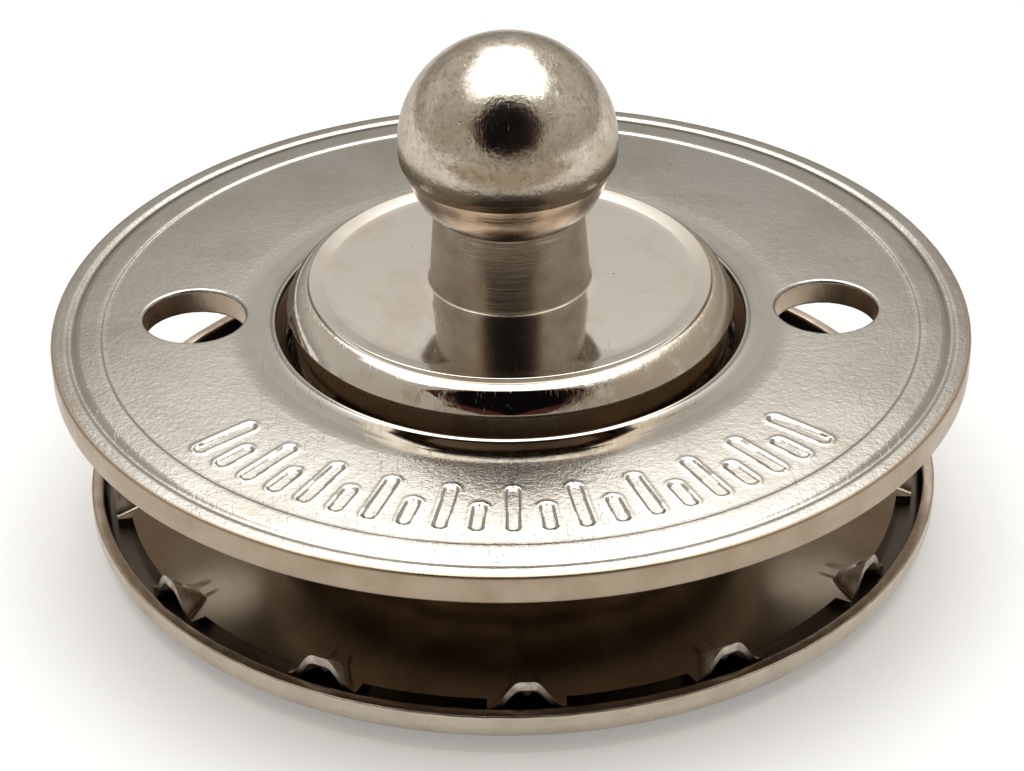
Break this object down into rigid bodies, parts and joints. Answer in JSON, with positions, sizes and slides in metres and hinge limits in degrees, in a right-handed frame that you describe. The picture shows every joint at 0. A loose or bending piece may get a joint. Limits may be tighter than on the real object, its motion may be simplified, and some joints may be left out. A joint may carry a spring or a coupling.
{
  "type": "ball stud fastener",
  "caption": "Press-on ball stud for cloth: a ball on a polished flange, a toothed dished base under it, and a slim ring nut with spanner holes that clamps the cloth to the base.",
  "frame": {"origin": "middle of the base's underside, on the stud's axis", "axes": "+Z along the stud's axis, from the base to the ball; the spanner holes lie on the X axis, and one tooth of the washer points 1.4 degrees off -Y"},
  "size_m": [0.022, 0.022, 0.0124],
  "materials": {
    "polished_nickel": "turned brass, polished and nickel-plated",
    "stamped_nickel": "stamped brass, satin nickel plate",
    "cap_nickel": "drawn brass sheet, nickel plate",
    "washer_nickel": "pressed brass sheet, bright nickel plate"
  },
  "bodies": {
    "stud_base": {"ball_stud": "polished_nickel", "base_cap": "cap_nickel", "prong_washer": "washer_nickel"},
    "nut": {"ring_nut": "stamped_nickel"}
  },
  "joints": [
    {"name": "nut_travel", "type": "slide", "parent": "stud_base", "child": "nut", "axis": [0, 0, 1], "range_m": [-0.0019, 0.0125]}
  ]
}
